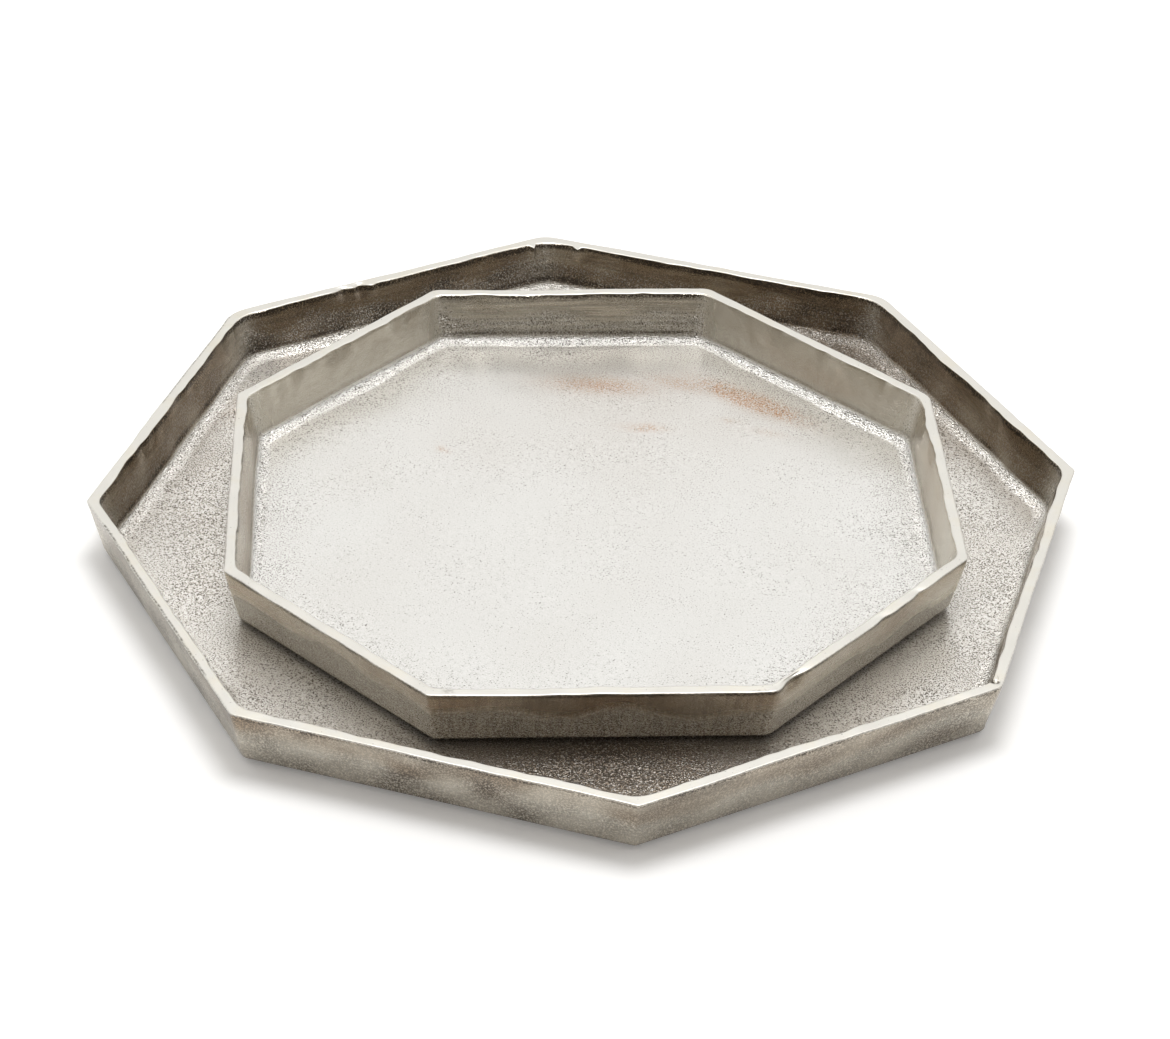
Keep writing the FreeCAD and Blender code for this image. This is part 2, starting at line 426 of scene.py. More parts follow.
def stains_and_painted_shade(facts, skin):
    """How far the metal is stained dark or painted dark as shade, from 0 to about 1.

    Inside and outside, walls have a thin dark line under the rim and dirt all over. Inner walls have a line
    of painted shade in the crease at their foot too, and are dark low down where they are both brown and
    raw. The rim's outer edge is dark, and the outer foot and the whole underside are painted dark as shade.
    """
    brown, grit = skin.shares @ facts["inside_brown"], skin.shares @ facts["inside_grit"]
    wavy = waves(skin.points, 18, facts["seed"] + 23)
    raw_low = smooth_step(brown * grit, 0.3, 1.0) * skin.low * (0.30 + 0.26 * skin.small_cloud)
    under_rim = 1.2 * bell(skin.below_rim, 1.3, 1.0) * smooth_step(np.maximum(brown, grit), 0.4, 0.9)
    dirt = facts["inner_dirt"] * np.minimum(brown, 1) * (1 + 0.6 * skin.cloud + 0.4 * skin.small_cloud)
    # Painted shade: a dark line in the crease where the inner wall meets the floor.
    painted_crease_shade = bell(skin.above_floor, 3.8, 1.0) * (skin.shares @ facts["painted_crease_shade"])
    stain_and_shade = skin.wall * (under_rim * (1.1 + 0.5 * wavy) + dirt + raw_low)
    stain_and_shade = stain_and_shade + (skin.inside | skin.cove) * painted_crease_shade * (0.8 + 0.3 * skin.small_cloud)

    keeps_grain = skin.low * smooth_step(skin.shares @ facts["outside_grit"], 0.5, 1.0)
    lip = facts["outer_lip"] * bell(skin.below_rim, 1.1, 0.7) * (0.6 + 0.4 * wavy)
    dirt = facts["outer_dirt"] * (1 + 0.4 * skin.small_cloud) * (1 - 0.7 * keeps_grain)
    # Painted shade: the outer wall's foot and the whole underside, where the tray stands, are painted dark.
    foot = np.maximum(skin.underside, skin.outside * (1 - smooth_step(skin.level, 0.3, 1.6)))
    return stain_and_shade + skin.outside * (lip + dirt) + 0.85 * foot + skin.rim * 0.35 * bell(skin.inset, 0, 0.5)


def skin_numbers(tray, skin):
    """What the finishes read at every point, as arrays of stations by columns, by name.

    grit, brown and stain_and_shade come from the functions above, with the tray's spots, patches and marks
    added; brown and stain_and_shade hold painted shade too.
    copper is how far copper shows through, streak is how strong the brush streaks are, sparkle is how high
    the grains stand, and floor is 1 on the floor and the lower part of the cove. The lay is the place, in
    metres, where the brushing's pattern is read: it is stretched along the inner walls and down the outer
    ones.
    """
    facts = TRAYS[tray]
    seed = facts["seed"]
    masks = (skin.zone == zone for zone in ZONES)
    skin.underside, skin.outside, skin.rim, skin.inside, skin.cove, skin.floor = masks
    skin.flat = np.maximum(skin.floor, skin.cove * smooth_step(skin.facing_up, 0.30, 0.75))
    skin.wall = (skin.inside | skin.cove) * (1 - skin.flat)
    skin.low = 1 - smooth_step(skin.climb + 0.14 * waves(skin.points, 45, seed + 20), 0.45, 0.70)
    skin.cloud = waves(skin.points, 60, seed + 21)
    skin.small_cloud = waves(skin.points, 24, seed + 22)
    skin.crease = 2 * (1 - nearness(skin.reach, 60).max(axis=-1))
    skin.x, skin.y = skin.points[..., 0], skin.points[..., 1]

    # Painted shade and painted reflection: these patches darken the large floor's colour through brown and
    # stain_and_shade, and raise its grains.
    painted_shade_patch = skin.flat * sum(spots_on(tray, PAINTED_SHADE_SPOTS, skin))
    warm = skin.floor * sum(spots_on(tray, WARM_SPOTS, skin))
    patches = wall_patches(tray, skin)
    grit = grain_kept(facts, skin)
    sparkle = skin.outside * (grit + 0.6 * smooth_step(grit, 0.5, 1.0)) + skin.wall * grit
    sparkle = sparkle + skin.cove * skin.flat * 0.8 + skin.floor * 0.14 + 0.4 * painted_shade_patch
    inner_streak = skin.wall * (skin.shares @ facts["inner_streaks"])
    outer_streak = skin.outside * (skin.shares @ facts["outer_streaks"])
    middle_ring = skin.plan[len(skin.plan) // 2]
    run = np.concatenate([[0], np.cumsum(np.linalg.norm(np.diff(middle_ring, axis=0), axis=1))])[None]
    numbers = {
        "grit": grit,
        "brown": tarnish_and_painted_foot_shade(facts, skin) + warm + 0.8 * painted_shade_patch + 1.5 * patches,
        "stain_and_shade": stains_and_painted_shade(facts, skin) + rim_marks(tray, skin) + 0.85 * painted_shade_patch + 0.45 * patches,
        "copper": skin.floor * np.maximum.reduce(spots_on(tray, COPPER_SPOTS, skin)),
        "streak": inner_streak + outer_streak,
        "sparkle": sparkle,
        "lay_x": run * np.where(skin.outside, 1.0, 0.05) * MM,
        "lay_y": skin.across * np.where(skin.outside, 0.10, 1.0) * MM,
        "floor": skin.flat * 1.0,
    }
    return {name: np.broadcast_to(values, grit.shape) for name, values in numbers.items()}


def wall_unevenness(points, seed):
    """The walls' relief in millimetres: sums of sine waves at three sizes."""
    coarse = 0.42 * waves(points, 70, seed) + 0.20 * waves(points, 22, seed + 1)
    return coarse + 0.09 * waves(points, 8, seed + 2)


def floor_unevenness(points, seed):
    """The floor's relief in millimetres: sums of sine waves at two sizes."""
    return 0.30 * waves(points, 80, seed + 3) + 0.10 * waves(points, 26, seed + 4)


def wander_rim(points, plan_normal, rim_line, inward, at_rim, seed):
    """Moves both edges of the rim sideways and its ground face up and down, by sums of sine waves.

    inward is 0 at the rim's outer edge and 1 at its inner edge. at_rim fades both moves out down the walls.
    """
    inner_edge = 0.40 * waves(rim_line, 34, seed + 5) + 0.26 * waves(rim_line, 11, seed + 6)
    outer_edge = 0.22 * waves(rim_line, 60, seed + 7) + 0.12 * waves(rim_line, 14, seed + 8)
    sideways = inner_edge * inward[:, None] + outer_edge * (1 - inward[:, None])
    points[..., :2] += plan_normal * (sideways * at_rim[:, None])[..., None]
    ground = 0.22 * waves(rim_line, 90, seed + 9) + 0.08 * waves(rim_line, 16, seed + 10)
    points[..., 2] += ground * at_rim[:, None]


def press_nicks(tray, points, plan_normal, side, place, inward, at_rim):
    """Presses the tray's nicks and burrs into its rim, each a smooth notch in its own edge."""
    for name, nick_side, where, half_width, deep, edge, outwards in NICKS:
        if name == tray:
            here = (side == nick_side - 1) * np.exp(-(((place - where) / half_width) ** 2) * 1.5)
            on_edge = inward if edge == "inner" else 1 - inward
            strength = here * (on_edge * at_rim)[:, None]
            points[..., 2] -= deep * strength
            points[..., :2] += plan_normal * (outwards * strength)[..., None]


def cast_tray(tray, settings):
    """One casting as a closed surface with its relief, and the numbers that its finish reads.

    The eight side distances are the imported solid's reach in each side's direction. The relief moves each
    point of the walls and the floor along its normal. The rim's level and both its edges wander by a few
    tenths of a millimetre, and the nicks are smooth notches in it.
    """
    facts = TRAYS[tray]
    solid = node_points(f"{tray}_tray")
    low, high = solid.min(axis=0), solid.max(axis=0)
    centre = (low[:2] + high[:2]) / 2
    out, along = facing(facts["turn"])
    distances = ((solid[:, :2] - centre) @ out.T).max(axis=0) / MM
    height = (high[2] - low[2]) / MM
    wall, floor = settings.wall_thickness / MM, settings.floor_thickness / MM
    lean, foot_radius = settings.wall_lean / MM, settings.foot_radius / MM
    edge_radius, cove_radius = settings.rim_edge_radius / MM, settings.cove_radius / MM
    section = profile(height, wall, floor, lean, foot_radius, edge_radius, cove_radius)
    inset, level, normal_out, normal_up, shrink, zone = section.T
    zone = zone.astype(int)

    inward = (zone >= INSIDE).astype(float)
    rim = zone == RIM
    inward[rim] = smooth_step(inset[rim], 0.5, wall - 0.5)
    radii = np.outer(1 - inward, facts["outer_corners"]) + np.outer(inward, facts["inner_corners"])
    plan, plan_normal = outline(distances, facts["turn"], inset, radii, ARC_COLUMNS, STRAIGHT_COLUMNS)
    stations, columns = plan.shape[:2]

    points = np.zeros((stations, columns, 3))
    points[..., :2] = plan * shrink[:, None, None]
    points[..., 2] = level[:, None]
    normal = np.zeros_like(points)
    normal[..., :2] = plan_normal * normal_out[:, None, None]
    normal[..., 2] = normal_up[:, None]
    even = points.copy()

    seed = facts["seed"]
    wall_relief = wall_unevenness(points, seed)
    floor_relief = floor_unevenness(points, seed)
    # How much of each relief the zones take, from the underside to the floor.
    wall_amount = np.array([0.0, 0.45, 0.0, 1.0, 1.5, 0.0])[zone] * facts["relief"]
    floor_amount = np.array([0.0, 0.0, 0.0, 0.0, 0.6, 1.0])[zone]
    near_foot = np.where(zone == OUTSIDE, smooth_step(level, 0.0, 4.0), 1.0)
    wall_amount *= smooth_step(np.abs(height - level), 0.0, 4.0) * near_foot
    shift = wall_relief * wall_amount[:, None] + floor_relief * floor_amount[:, None]
    points += normal * shift[..., None]

    at_rim = (1 - smooth_step(height - level, 0.0, 9.0)) * np.isin(zone, (OUTSIDE, RIM, INSIDE))
    rim_line = even[np.flatnonzero(rim)[0]][None] * [1, 1, 0]
    wander_rim(points, plan_normal, rim_line, inward, at_rim, seed)

    # Towards which side each point lies, and its place along that side.
    reach = np.einsum("scd,kd->sck", plan, out) / (distances - inset[:, None, None])
    side = reach.argmax(axis=-1)
    place = np.take_along_axis(np.einsum("scd,kd->sck", plan, along), side[..., None], axis=-1)[..., 0]
    press_nicks(tray, points, plan_normal, side, place, inward, at_rim)

    foot = np.array([centre[0], centre[1], low[2]])
    pole = np.array([0.0, 0.0, floor])
    pole[2] += floor_unevenness(pole[None], seed)[0]
    mesh = grid_mesh(f"{tray}_tray_casting", points * MM + foot, foot, pole * MM + foot)

    # What the finish starts from: the section's own numbers, then each point's.
    step = np.linalg.norm(np.diff(section[:, :2], axis=0), axis=1)
    row = {
        "zone": zone, "level": level, "inset": inset, "shrink": shrink, "facing_up": normal_up,
        "across": np.concatenate([[0], np.cumsum(step)]),
        "below_rim": height - level,
        "above_floor": level - floor,
        "climb": np.where(zone == OUTSIDE, level / height, (level - floor) / (height - floor)),
    }
    skin = SimpleNamespace(**{name: values[:, None] for name, values in row.items()})
    skin.points = even + foot / MM * [1, 1, 0]
    skin.plan, skin.reach, skin.side, skin.place = plan, reach, side, place
    skin.shares = nearness(reach, 200)
    for name, values in skin_numbers(tray, skin).items():
        add_attribute(mesh, name, np.concatenate([values.ravel(), [0.0], values[-1].mean(keepdims=True)]))

    faces = np.concatenate([np.repeat(zone[1:] == RIM, columns), np.zeros(2 * columns, bool)])
    mesh.polygons.foreach_set("material_index", faces.astype(np.int32))
    return mesh


PAD_COLUMNS = 96


def felt_disc(name, node, seed):
    """A die-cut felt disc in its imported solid's place: a rounded profile carried round an uneven circle.

    Each ring is a circle of the solid's radius times the row's share. The edge is a half round of the
    felt's thickness, squashed to a third, and wanders by a tenth of a millimetre; both faces are faintly
    lumpy.
    """
    low, high = (Vector(corner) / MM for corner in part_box(node))
    middle = (low + high) / 2
    radius, thickness = (high.x - low.x) / 2, high.z - low.z
    bend = np.linspace(-np.pi / 2, np.pi / 2, 13)
    bulge = thickness / 6
    edge_radius = radius - bulge + bulge * np.cos(bend)
    edge_level = thickness / 2 * np.sin(bend)
    face = np.linspace(0.12, 0.97, 12) * (radius - bulge)
    top = np.full(len(face), thickness / 2)
    ring_radius = np.concatenate([face, edge_radius, face[::-1]])
    ring_level = np.concatenate([-top, edge_level, top])
    round_pad = np.linspace(0, 2 * np.pi, PAD_COLUMNS, endpoint=False)
    circle = np.stack([np.cos(round_pad), np.sin(round_pad), np.zeros(PAD_COLUMNS)], axis=-1)
    points = ring_radius[:, None, None] * circle
    at_edge = smooth_step(ring_radius, radius - 2, radius)[:, None, None]
    wander = 0.10 * waves(points, 5, seed) - 0.10
    points = points + circle * wander[..., None] * at_edge
    lumps = 0.03 * (1 + waves(points, 3, seed + 9))
    points[..., 2] = ring_level[:, None] - lumps * np.sign(ring_level)[:, None]
    centre = np.array(middle)
    up = np.array([0, 0, thickness / 2])
    return grid_mesh(name, (points + centre) * MM, (centre - up) * MM, (centre + up) * MM)


# ---------------------------------------------------------------- finishes


def add_node(tree, kind, inputs=None, **settings):
    """One shader node. inputs maps a socket to a plain value, or to an output that is linked to it."""
    made = tree.nodes.new(kind)
    for name, value in settings.items():
        setattr(made, name, value)
    for socket, value in (inputs or {}).items():
        if isinstance(value, bpy.types.NodeSocket):
            tree.links.new(value, made.inputs[socket])
        else:
            made.inputs[socket].default_value = value
    return made


def start_material(name):
    """An empty node material with its output."""
    material = bpy.data.materials.new(name)
    material.use_nodes = True
    material.node_tree.nodes.clear()
    output = material.node_tree.nodes.new("ShaderNodeOutputMaterial")
    return material, material.node_tree, output


def noise(tree, place, scale, detail=2.0, roughness=0.5, distortion=0.0):
    """Blender's noise at this many features a metre, read at the given place."""
    inputs = {"Vector": place, "Scale": scale, "Detail": detail, "Roughness": roughness}
    inputs["Distortion"] = distortion
    return add_node(tree, "ShaderNodeTexNoise", inputs).outputs["Fac"]


def ramp(tree, value, low, high, from_low=0.0, from_high=1.0):
    """value carried from the range low to high onto the range from_low to from_high, held at the ends."""
    inputs = {"Value": value, "From Min": low, "From Max": high, "To Min": from_low, "To Max": from_high}
    return add_node(tree, "ShaderNodeMapRange", inputs, clamp=True).outputs["Result"]


def maths(tree, operation, first, second):
    """One Math node."""
    return add_node(tree, "ShaderNodeMath", {0: first, 1: second}, operation=operation).outputs[0]


def blend_colour(tree, share, first, second):
    """Colour first where share is 0 and second where it is 1."""
    made = add_node(tree, "ShaderNodeMix", {"Factor": share}, data_type="RGBA")
    for socket, value in ((made.inputs[6], first), (made.inputs[7], second)):
        if isinstance(value, bpy.types.NodeSocket):
            tree.links.new(value, socket)
        else:
            socket.default_value = (*value, 1.0)
    return made.outputs[2]


def attribute(tree, name):
    """The number that each vertex carries under this name."""
    return add_node(tree, "ShaderNodeAttribute", attribute_name=name).outputs["Fac"]


def brushing_place(tree):
    """Where the brushing's pattern is read: across the strokes and along them."""
    inputs = {"X": attribute(tree, "lay_x"), "Y": attribute(tree, "lay_y")}
    return add_node(tree, "ShaderNodeCombineXYZ", inputs).outputs[0]


def bump(tree, height, distance, normal=None):
    """Raises the surface by height times distance, in metres."""
    inputs = {"Height": height, "Distance": distance, "Strength": 1.0}
    if normal is not None:
        inputs["Normal"] = normal
    return add_node(tree, "ShaderNodeBump", inputs).outputs["Normal"]


def cast_metal(tray, floor_colour, finish):
    """Raw nickel on sand-cast metal, with the tray's floor colour, which is paler partly as painted
    highlight.

    Sparkle raises round grains, about a millimetre across. Dark pits open where a noise falls under a level
    that rises with the grit; their darkness is partly oxide and partly painted shade in the hollows. The
    same noise's crests are painted a paler colour, a painted highlight that stands in for grains catching
    the light. Where there is little grit the skin is satin, with soft lumps and brush streaks. Raw skin, on
    floors and the grainiest walls, is part diffuse, because its pits scatter the light.
    """
    material, tree, output = start_material(f"{tray}_cast_metal")
    place = add_node(tree, "ShaderNodeTexCoord").outputs["Object"]
    grain = noise(tree, place, 1200, 2.0, 0.6)
    pits = noise(tree, place, 1500, 1.0, 0.5)
    patches = noise(tree, place, 26, 3.0, 0.6)
    soft = noise(tree, place, 150, 2.0, 0.5)
    brushed = noise(tree, brushing_place(tree), 520, 3.0, 0.6)
    floor = attribute(tree, "floor")
    sparkle = attribute(tree, "sparkle")

    grit = maths(tree, "MULTIPLY", attribute(tree, "grit"), ramp(tree, patches, 0.3, 0.7, 0.88, 1.12))
    rawest_level = ramp(tree, floor, 0.0, 1.0, 0.42, 0.47)
    pit_level = ramp(tree, grit, 0.0, 1.0, 0.26, rawest_level)
    # The pits are painted dark: partly the oxide in them, partly painted shade in their hollows.
    pit = ramp(tree, maths(tree, "SUBTRACT", pit_level, pits), 0.0, 0.10)
    streak = maths(tree, "MULTIPLY", attribute(tree, "streak"), ramp(tree, brushed, 0.42, 0.60))

    # Colour, from the clean skin up: browning, brush streaks, copper, painted highlights on the grains, and
    # last the stained and painted-shade parts and the pits, whose dark is partly painted shade.
    # The floors' paler, more neutral colour is partly a paler skin and partly painted highlight, for the
    # bleaching of their bright reflection.
    clean = blend_colour(tree, floor, finish.nickel_colour, floor_colour)
    # brown holds painted shade as well as tarnish: the shaded patches of the large floor and the outer walls'
    # foot.
    brown = maths(tree, "MULTIPLY", attribute(tree, "brown"), ramp(tree, patches, 0.3, 0.7, 0.8, 1.2))
    tone = blend_colour(tree, brown, clean, finish.tarnish_colour)
    tone = blend_colour(tree, maths(tree, "MULTIPLY", streak, 0.65), tone, finish.dark_colour)
    copper = maths(tree, "MULTIPLY", attribute(tree, "copper"), ramp(tree, grain, 0.45, 0.52))
    tone = blend_colour(tree, copper, tone, finish.copper_colour)
    # Painted highlight: where the pits' noise crests, the colour is painted paler, as grains that catch the
    # light.
    crest = ramp(tree, pits, 0.50, 0.64, 0.0, 0.9)
    painted_glint = maths(tree, "MULTIPLY", maths(tree, "MINIMUM", grit, 1.0), crest)
    tone = blend_colour(tree, painted_glint, tone, finish.painted_glint_colour)
    # stain_and_shade holds real staining and dirt, and painted shade on the underside, the foot, the inner
    # crease and the large floor's shaded patches.
    stain_and_shade = maths(tree, "MULTIPLY", attribute(tree, "stain_and_shade"), ramp(tree, grain, 0.62, 0.46, 0.1, 1.0))
    dark = maths(tree, "MAXIMUM", maths(tree, "MULTIPLY", pit, 0.9), stain_and_shade)
    tone = blend_colour(tree, dark, tone, finish.dark_colour)

    # Relief: soft lumps, then the brush streaks, then the grains with their pits.
    grain_height = maths(tree, "MULTIPLY", grain, ramp(tree, sparkle, 0.0, 1.6, 0.04, 1.6))
    grain_height = maths(tree, "SUBTRACT", grain_height, maths(tree, "MULTIPLY", pit, 0.12))
    lumps = maths(tree, "MULTIPLY", soft, ramp(tree, floor, 0.0, 1.0, 1.0, 0.06))
    normal = bump(tree, lumps, 0.0003)
    normal = bump(tree, streak, 0.0001, normal)
    normal = bump(tree, grain_height, 0.0008, normal)

    raw = maths(tree, "MAXIMUM", floor, ramp(tree, sparkle, 0.5, 1.0))
    roughness = ramp(tree, grit, 0.10, 0.30, 0.22, 0.277)
    roughness = maths(tree, "MULTIPLY", roughness, ramp(tree, raw, 0.8, 1.0, 1.0, 0.60))
    metallic = ramp(tree, raw, 0.0, 1.0, 1.0, 0.68)
    inputs = {"Base Color": tone, "Metallic": metallic, "Roughness": roughness, "Normal": normal}
    shader = add_node(tree, "ShaderNodeBsdfPrincipled", inputs)
    tree.links.new(shader.outputs[0], output.inputs["Surface"])
    return material


def ground_metal(finish):
    """The rim's ground face: brighter than the casting's skin, patchy, with fine scratches along it."""
    material, tree, output = start_material("ground_rim")
    place = add_node(tree, "ShaderNodeTexCoord").outputs["Object"]
    scratches = noise(tree, brushing_place(tree), 4000, 3.0, 0.6)
    patches = noise(tree, place, 60, 3.0, 0.6)
    pits = noise(tree, place, 900, 1.0, 0.5)
    tone = blend_colour(tree, ramp(tree, patches, 0.5, 0.8), finish.rim_colour, finish.nickel_colour)
    stain_and_shade = maths(tree, "MULTIPLY", attribute(tree, "stain_and_shade"), ramp(tree, pits, 0.60, 0.42, 0.2, 1.0))
    dark = maths(tree, "MAXIMUM", stain_and_shade, ramp(tree, pits, 0.27, 0.20, 0.0, 0.6))
    tone = blend_colour(tree, dark, tone, finish.dark_colour)
    roughness = ramp(tree, patches, 0.3, 0.7, 0.30, 0.42)
    normal = bump(tree, scratches, 0.00003)
    inputs = {"Base Color": tone, "Metallic": 1.0, "Roughness": roughness, "Normal": normal}
    shader = add_node(tree, "ShaderNodeBsdfPrincipled", inputs)
    tree.links.new(shader.outputs[0], output.inputs["Surface"])
    return material


def felt(finish):
    """Dense stick-on felt."""
    material, tree, output = start_material("felt")
    place = add_node(tree, "ShaderNodeTexCoord").outputs["Object"]
    fibres = noise(tree, place, 1800, 4.0, 0.7, 1.5)
    tone = blend_colour(tree, fibres, finish.felt_colour, tuple(3 * part for part in finish.felt_colour))
    normal = bump(tree, fibres, 0.0002)
    inputs = {"Base Color": tone, "Roughness": 0.95, "Sheen Weight": 0.4, "Normal": normal}
    shader = add_node(tree, "ShaderNodeBsdfPrincipled", inputs)
    tree.links.new(shader.outputs[0], output.inputs["Surface"])
    return material


def pale_ground(settings):
    """The matt ground, which glows a little so that it stays white round the trays' shadows."""
    material, tree, output = start_material("pale_floor")
    inputs = {
        "Base Color": (0.95, 0.95, 0.95, 1.0), "Roughness": 0.9,
        "Emission Color": (1.0, 1.0, 1.0, 1.0), "Emission Strength": settings.ground_glow,
    }
    shader = add_node(tree, "ShaderNodeBsdfPrincipled", inputs)
    tree.links.new(shader.outputs[0], output.inputs["Surface"])
    return material


def studio_light(front, settings):
    """A light tent round the trays: brightest overhead, and dark on the side where the camera stands."""
    world = bpy.data.worlds.new("studio")
    world.use_nodes = True
    tree = world.node_tree
    heading = add_node(tree, "ShaderNodeTexCoord").outputs["Generated"]
    towards_front = add_node(tree, "ShaderNodeVectorMath", {0: heading, 1: front}, operation="DOT_PRODUCT")
    up = add_node(tree, "ShaderNodeSeparateXYZ", {0: heading}).outputs["Z"]
    overhead = ramp(tree, up, 0.80, 0.98)
    tone = blend_colour(tree, overhead, settings.tent_colour, settings.overhead_colour)
    shade = ramp(tree, towards_front.outputs["Value"], -0.10, 0.40)
    tone = blend_colour(tree, shade, tone, settings.dark_colour)
    tree.links.new(tone, tree.nodes["Background"].inputs["Color"])
    return world


def add_key_light(scene, front, settings):
    """One round soft box almost straight above the trays, a little behind them and to the right."""
    bearing = Matrix.Rotation(settings.key_bearing, 3, "Z") @ -front
    heading = bearing * np.cos(settings.key_elevation) + Vector((0, 0, np.sin(settings.key_elevation)))
    light = bpy.data.lights.new("soft_box", "AREA")
    light.shape = "DISK"
    light.size = settings.key_size
    light.energy = settings.key_power
    lamp = bpy.data.objects.new("soft_box", light)
    lamp.location = heading * settings.key_distance
    lamp.rotation_euler = heading.to_track_quat("Z", "Y").to_euler()
    lamp.visible_camera = False
    scene.collection.objects.link(lamp)


# ---------------------------------------------------------------- settings


def length(name, description, default):
    """A length property in metres."""
    return FloatProperty(
        name=name, description=description, default=default, unit="LENGTH", subtype="DISTANCE", precision=5
    )


def angle(name, description, degrees):
    """An angle property, given in degrees and kept in radians."""
    return FloatProperty(name=name, description=description, default=np.radians(degrees), subtype="ANGLE")


def colour(name, description, default, brightest=1):
    """A colour property, linear. A light's colour may be brighter than white."""
    return FloatVectorProperty(
        name=name, description=description, default=default, subtype="COLOR", min=0, max=brightest
    )


class CastingSettings(bpy.types.PropertyGroup):
    """Sizes that both castings share."""

    wall_thickness: length("Wall Thickness", "Width of the ground rim", 5 * MM)
    floor_thickness: length("Floor Thickness", "Metal under the floor", 5 * MM)
    wall_lean: length("Wall Lean", "How far a wall leans out from foot to rim", 6 * MM)
    foot_radius: length("Foot Radius", "Rounding where the wall meets the underside", 2 * MM)
    rim_edge_radius: length("Rim Edge Radius", "Rounding of the rim's two edges", 0.6 * MM)
    cove_radius: length("Cove Radius", "Rounding between wall and floor", 4.8 * MM)


class FinishSettings(bpy.types.PropertyGroup):
    """Colours of the metal and the felt."""

    # The floor colours are partly a paler skin and partly painted highlight, for the bleaching of the floors'
    # bright reflection.
    large_floor_colour: colour("Large Floor", "The large tray's grainy floor", (0.80, 0.775, 0.72))
    small_floor_colour: colour("Small Floor", "The small tray's grainy floor", (0.785, 0.78, 0.755))
    nickel_colour: colour("Nickel", "The walls' skin", (0.70, 0.66, 0.57))
    tarnish_colour: colour("Tarnish", "The skin where it has browned", (0.40, 0.31, 0.22))
    # Also the colour of painted shade: on the underside, the foot, the inner crease, the pits' hollows and
    # the large floor's shaded patches.
    dark_colour: colour("Dark", "Pits, stains and the dark brush streaks", (0.10, 0.085, 0.07))
    copper_colour: colour("Copper", "Copper that shows through the floor", (0.52, 0.29, 0.155))
    # Painted highlight: the paler colour painted on the grains' crests.
    painted_glint_colour: colour("Glint", "The brightest grains", (0.97, 0.96, 0.93))
    rim_colour: colour("Ground Rim", "The rim's ground face", (0.74, 0.72, 0.67))
    felt_colour: colour("Felt", "The stick-on pads", (0.035, 0.033, 0.031))


class StageSettings(bpy.types.PropertyGroup):
    """Camera and light."""

    azimuth: angle("Azimuth", "The camera's turn round the trays", 16.53)
    elevation: angle("Elevation", "The camera's angle above the table", 35.63)
    roll: angle("Roll", "The camera's tilt about its own view", 1.63)
    distance: length("Distance", "From the camera to the trays", 1.512)
    lens: FloatProperty(
        name="Lens", description="Focal length on a 36 mm sensor", default=98.8, subtype="DISTANCE_CAMERA"
    )
    tent_colour: colour("Tent", "Light from the tent's sides and back", (1.0, 0.995, 0.98), 10)
    overhead_colour: colour("Overhead", "Light from straight above", (1.25, 1.25, 1.24), 10)
    dark_colour: colour("Dark Side", "Light from the side where the camera stands", (0.20, 0.175, 0.145), 10)
    ground_glow: FloatProperty(name="Ground Glow", description="Light from the ground", default=0.16, min=0)
    key_bearing: angle("Key Bearing", "Of the soft box, from behind the trays to the left", -15)
    key_elevation: angle("Key Elevation", "Of the soft box, above the table", 82)
    key_distance: length("Key Distance", "From the trays to the soft box", 2.4)
    key_size: length("Key Size", "Across the soft box", 1.0)
    key_power: FloatProperty(name="Key Power", description="Of the soft box, in watts", default=26, min=0)


# ---------------------------------------------------------------- operators


class TRAYS_OT_castings(bpy.types.Operator):
    """Build the two castings"""

    bl_idname = "trays.castings"
    bl_label = "Castings"

    def execute(self, context):
        scene = context.scene
        finish = scene.tray_finish
        ground_rim = ground_metal(finish)
        floor_colours = {"large": finish.large_floor_colour, "small": finish.small_floor_colour}
        for tray, floor_colour in floor_colours.items():
            mesh = cast_tray(tray, scene.tray_casting)
            materials = [cast_metal(tray, floor_colour, finish), ground_rim]
            nodes = [f"{tray}_tray"]
            add_piece(mesh.name, mesh, f"{tray}_tray_body", nodes, materials)
        return {"FINISHED"}


PADS_PER_TRAY = 4


class TRAYS_OT_felt_pads(bpy.types.Operator):
    """Build the felt pads under both castings"""

    bl_idname = "trays.felt_pads"
    bl_label = "Felt Pads"

    def execute(self, context):
        material = felt(context.scene.tray_finish)
        for tray in TRAYS:
            for number in range(1, PADS_PER_TRAY + 1):
                node = f"{tray}_tray_felt_pad_{number}"
                mesh = felt_disc(node.replace("pad", "disc"), node, number)
                add_piece(mesh.name, mesh, f"{tray}_tray_body", [node], [material])
        return {"FINISHED"}


# Where the camera looks, in millimetres, and half the ground's width in metres.
VIEW_CENTRE = (-3.8, 11.6, 2.0)
GROUND_REACH = 30.0


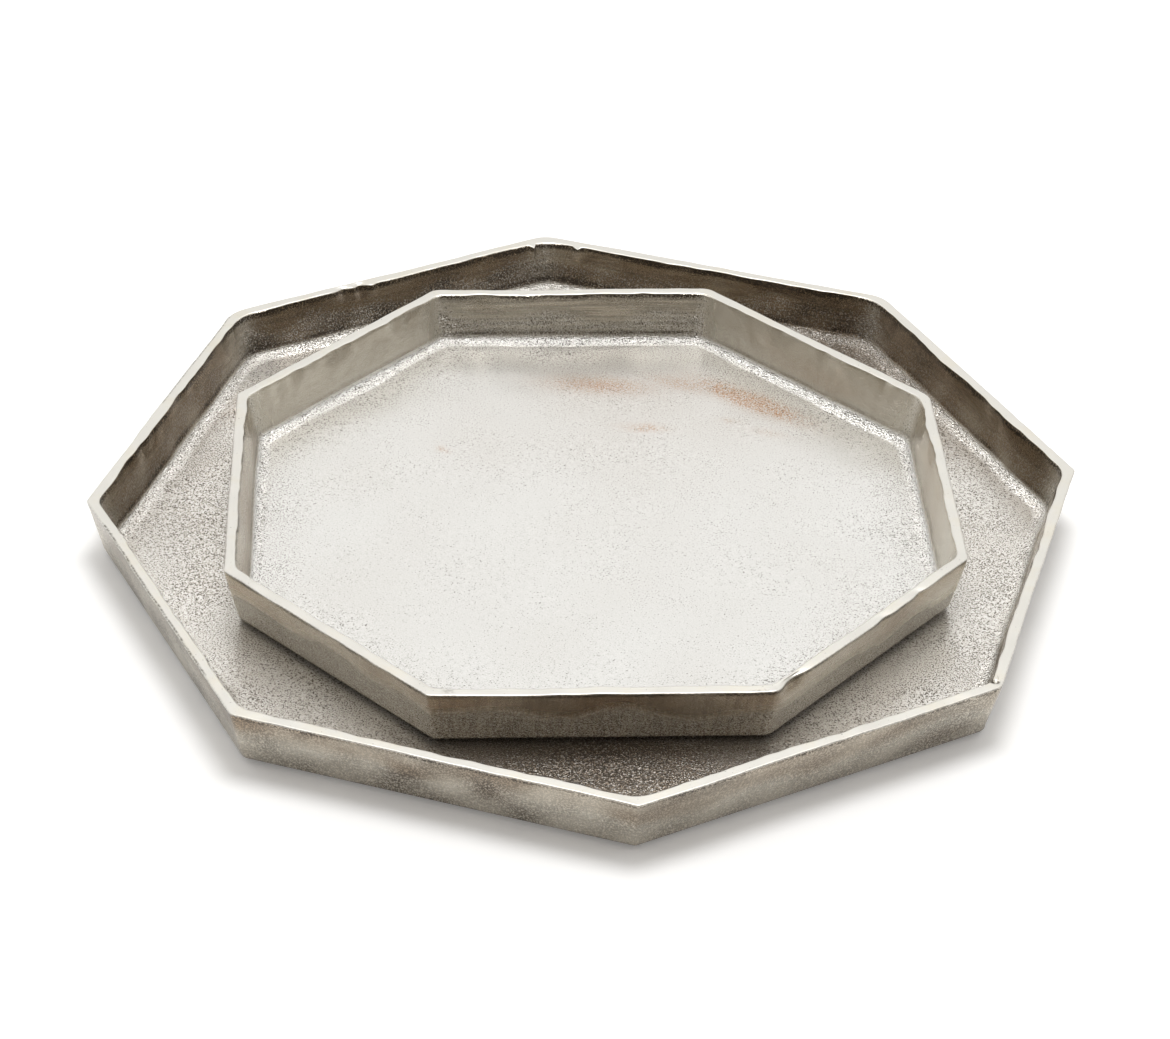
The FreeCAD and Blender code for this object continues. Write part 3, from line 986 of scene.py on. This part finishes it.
class TRAYS_OT_stage(bpy.types.Operator):
    """Lay the ground, hang the lights and set up the camera"""

    bl_idname = "trays.stage"
    bl_label = "Stage"

    def execute(self, context):
        settings = context.scene.tray_stage
        scene = context.scene
        back = Vector((
            np.sin(settings.azimuth) * np.cos(settings.elevation),
            -np.cos(settings.azimuth) * np.cos(settings.elevation),
            np.sin(settings.elevation),
        ))
        camera = bpy.data.objects.new("camera", bpy.data.cameras.new("camera"))
        camera.data.sensor_width = 36
        camera.data.lens = settings.lens
        camera.location = Vector(VIEW_CENTRE) * MM + back * settings.distance
        turned = (-back).to_track_quat("-Z", "Y").to_matrix() @ Matrix.Rotation(settings.roll, 3, "Z")
        camera.rotation_euler = turned.to_euler()
        scene.collection.objects.link(camera)
        scene.camera = camera

        mesh = bpy.data.meshes.new("floor")
        corners = [(x * GROUND_REACH, y * GROUND_REACH, 0) for x, y in ((-1, -1), (1, -1), (1, 1), (-1, 1))]
        mesh.from_pydata(corners, [], [(0, 1, 2, 3)])
        mesh.materials.append(pale_ground(settings))
        ground = bpy.data.objects.new("floor", mesh)
        scene.collection.objects.link(ground)

        front = Vector((back.x, back.y, 0)).normalized()
        scene.world = studio_light(front, settings)
        add_key_light(scene, front, settings)
        scene.view_settings.view_transform = "Standard"
        return {"FINISHED"}


class TRAYS_PT_panel(bpy.types.Panel):
    """Lists the builders in the sidebar."""

    bl_label = "Nesting Trays"
    bl_space_type = "VIEW_3D"
    bl_region_type = "UI"
    bl_category = "Trays"

    def draw(self, context):
        for operator in (TRAYS_OT_castings, TRAYS_OT_felt_pads, TRAYS_OT_stage):
            self.layout.operator(operator.bl_idname)


CLASSES = (
    CastingSettings, FinishSettings, StageSettings,
    TRAYS_OT_castings, TRAYS_OT_felt_pads, TRAYS_OT_stage,
    TRAYS_PT_panel,
)


def register():
    """Registers the classes and hangs the settings on the scene."""
    for each in CLASSES:
        bpy.utils.register_class(each)
    bpy.types.Scene.tray_casting = PointerProperty(type=CastingSettings)
    bpy.types.Scene.tray_finish = PointerProperty(type=FinishSettings)
    bpy.types.Scene.tray_stage = PointerProperty(type=StageSettings)


def unregister():
    """Takes back what register did."""
    del bpy.types.Scene.tray_casting, bpy.types.Scene.tray_finish, bpy.types.Scene.tray_stage
    for each in reversed(CLASSES):
        bpy.utils.unregister_class(each)


def main():
    register()
    bpy.ops.trays.stage()
    bpy.ops.trays.castings()
    bpy.ops.trays.felt_pads()


if __name__ == "__main__":
    main()
